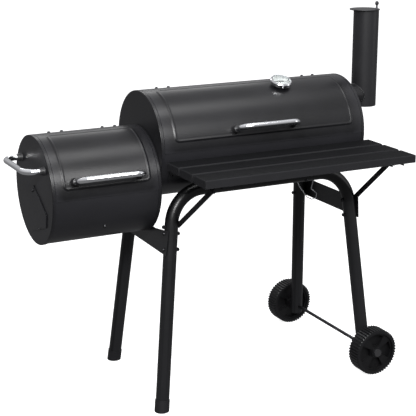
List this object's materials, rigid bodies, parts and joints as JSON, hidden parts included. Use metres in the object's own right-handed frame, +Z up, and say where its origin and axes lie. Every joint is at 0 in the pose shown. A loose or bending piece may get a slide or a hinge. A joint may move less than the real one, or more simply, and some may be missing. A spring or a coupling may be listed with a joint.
{
  "type": "offset smoker",
  "caption": "Offset smoker: barrel cooking chamber with hinged lid, side firebox with air damper, capped chimney, slatted shelf and wheeled tube frame.",
  "frame": {"origin": "middle of the overall box on the floor that the feet and wheels stand on", "axes": "+Z up, +X towards the chimney along the barrels, -Y towards the shelf and the front"},
  "size_m": [1.16, 0.663, 1.079],
  "materials": {
    "barrel_paint": "satin black heat-resistant paint",
    "chimney_paint": "satin black heat-resistant paint",
    "frame_paint": "semi-gloss black powder coat",
    "brace_steel": "black powder coat",
    "hinge_paint": "satin black paint",
    "cooking_wire": "bright plated wire",
    "coal_wire": "black coated wire",
    "handle_chrome": "polished chrome",
    "spacer_plastic": "matte black",
    "screw_steel": "black zinc plating",
    "zinc_wire": "zinc plated",
    "axle_steel": "black zinc plating",
    "retainer_plastic": "matte black",
    "foot_plastic": "matte black",
    "wheel_plastic": "moulded black",
    "slat_wood": "black stain over planed softwood",
    "gauge_chrome": "polished chrome",
    "dial_face": "printed white face",
    "lens_glass": "clear",
    "needle_paint": "black paint",
    "stem_steel": "plain",
    "damper_paint": "satin black heat-resistant paint",
    "knob_steel": "black zinc plating"
  },
  "bodies": {
    "root": {"axle": "axle_steel", "barrel_spacers": "frame_paint", "body_screws": "screw_steel", "chimney_elbow": "chimney_paint", "chimney_lug": "chimney_paint", "chimney_tube": "chimney_paint", "cooking_grate_left": "cooking_wire", "cooking_grate_right": "cooking_wire", "cross_plate_left": "frame_paint", "cross_plate_right": "frame_paint", "firebox_charcoal_grate": "coal_wire", "firebox_cooking_grate": "cooking_wire", "firebox_inner_cap": "barrel_paint", "firebox_outer_cap": "barrel_paint", "firebox_shell": "barrel_paint", "foot_caps": "foot_plastic", "frame_bolts": "screw_steel", "front_arch_left": "frame_paint", "front_arch_right": "frame_paint", "grate_rails": "barrel_paint", "hinge_body_leaves": "hinge_paint", "hinge_pins": "hinge_paint", "main_charcoal_grate": "coal_wire", "main_left_cap": "barrel_paint", "main_right_cap": "barrel_paint", "main_shell": "barrel_paint", "rear_leg_left": "frame_paint", "rear_leg_right": "frame_paint", "shelf_brace_left": "brace_steel", "shelf_brace_right": "brace_steel", "shelf_bracket_left": "frame_paint", "shelf_bracket_right": "frame_paint", "shelf_screws": "screw_steel", "shelf_slat_front": "slat_wood", "shelf_slat_middle": "slat_wood", "shelf_slat_rear": "slat_wood", "side_handle": "handle_chrome", "side_handle_spacers": "spacer_plastic", "wheel_retainers": "retainer_plastic"},
    "main_lid": {"main_lid": "barrel_paint", "main_lid_handle": "handle_chrome", "main_lid_hinge_leaves": "hinge_paint", "main_lid_screws": "screw_steel", "main_lid_spacers": "spacer_plastic", "thermometer_case": "gauge_chrome", "thermometer_dial": "dial_face", "thermometer_lens": "lens_glass", "thermometer_stem": "stem_steel"},
    "needle": {"thermometer_needle": "needle_paint"},
    "firebox_lid": {"firebox_lid": "barrel_paint", "firebox_lid_handle": "handle_chrome", "firebox_lid_hinge_leaves": "hinge_paint", "firebox_lid_screws": "screw_steel", "firebox_lid_spacers": "spacer_plastic"},
    "damper": {"air_damper": "damper_paint"},
    "flue_cap": {"chimney_cap": "chimney_paint", "chimney_knob": "knob_steel"},
    "wheel_front": {"wheel_front": "wheel_plastic"},
    "wheel_rear": {"wheel_rear": "wheel_plastic"},
    "drip_hook": {"drip_hook": "zinc_wire"}
  },
  "joints": [
    {"name": "main_lid_hinge", "type": "hinge", "parent": "root", "child": "main_lid", "pos_m": [0.1195, 0.11295, 0.85522], "axis": [-1, 0, 0], "range_deg": [0, 90]},
    {"name": "firebox_lid_hinge", "type": "hinge", "parent": "root", "child": "firebox_lid", "pos_m": [-0.3625, 0.11295, 0.75922], "axis": [-1, 0, 0], "range_deg": [0, 90]},
    {"name": "thermometer_needle_turn", "type": "hinge", "parent": "main_lid", "child": "needle", "pos_m": [0.2135, -0.00104, 0.87055], "axis": [0, -0.3584, 0.9336], "range_deg": [-270, 0]},
    {"name": "air_damper_pivot", "type": "hinge", "parent": "root", "child": "damper", "pos_m": [-0.52025, 0.05751, 0.622], "axis": [1, 0, 0], "range_deg": [-50, 85]},
    {"name": "chimney_cap_pivot", "type": "hinge", "parent": "root", "child": "flue_cap", "pos_m": [0.5686, 0.04441, 1.055], "axis": [0, 0, 1], "range_deg": [-110, 110]},
    {"name": "wheel_front_spin", "type": "hinge", "parent": "root", "child": "wheel_front", "pos_m": [0.4375, -0.18549, 0.07], "axis": [0, 1, 0], "continuous": true},
    {"name": "wheel_rear_spin", "type": "hinge", "parent": "root", "child": "wheel_rear", "pos_m": [0.4375, 0.30051, 0.07], "axis": [0, 1, 0], "continuous": true},
    {"name": "drip_hook_swing", "type": "hinge", "parent": "root", "child": "drip_hook", "pos_m": [0.3355, 0.05751, 0.57285], "axis": [1, 0, 0], "range_deg": [-25, 25]}
  ]
}
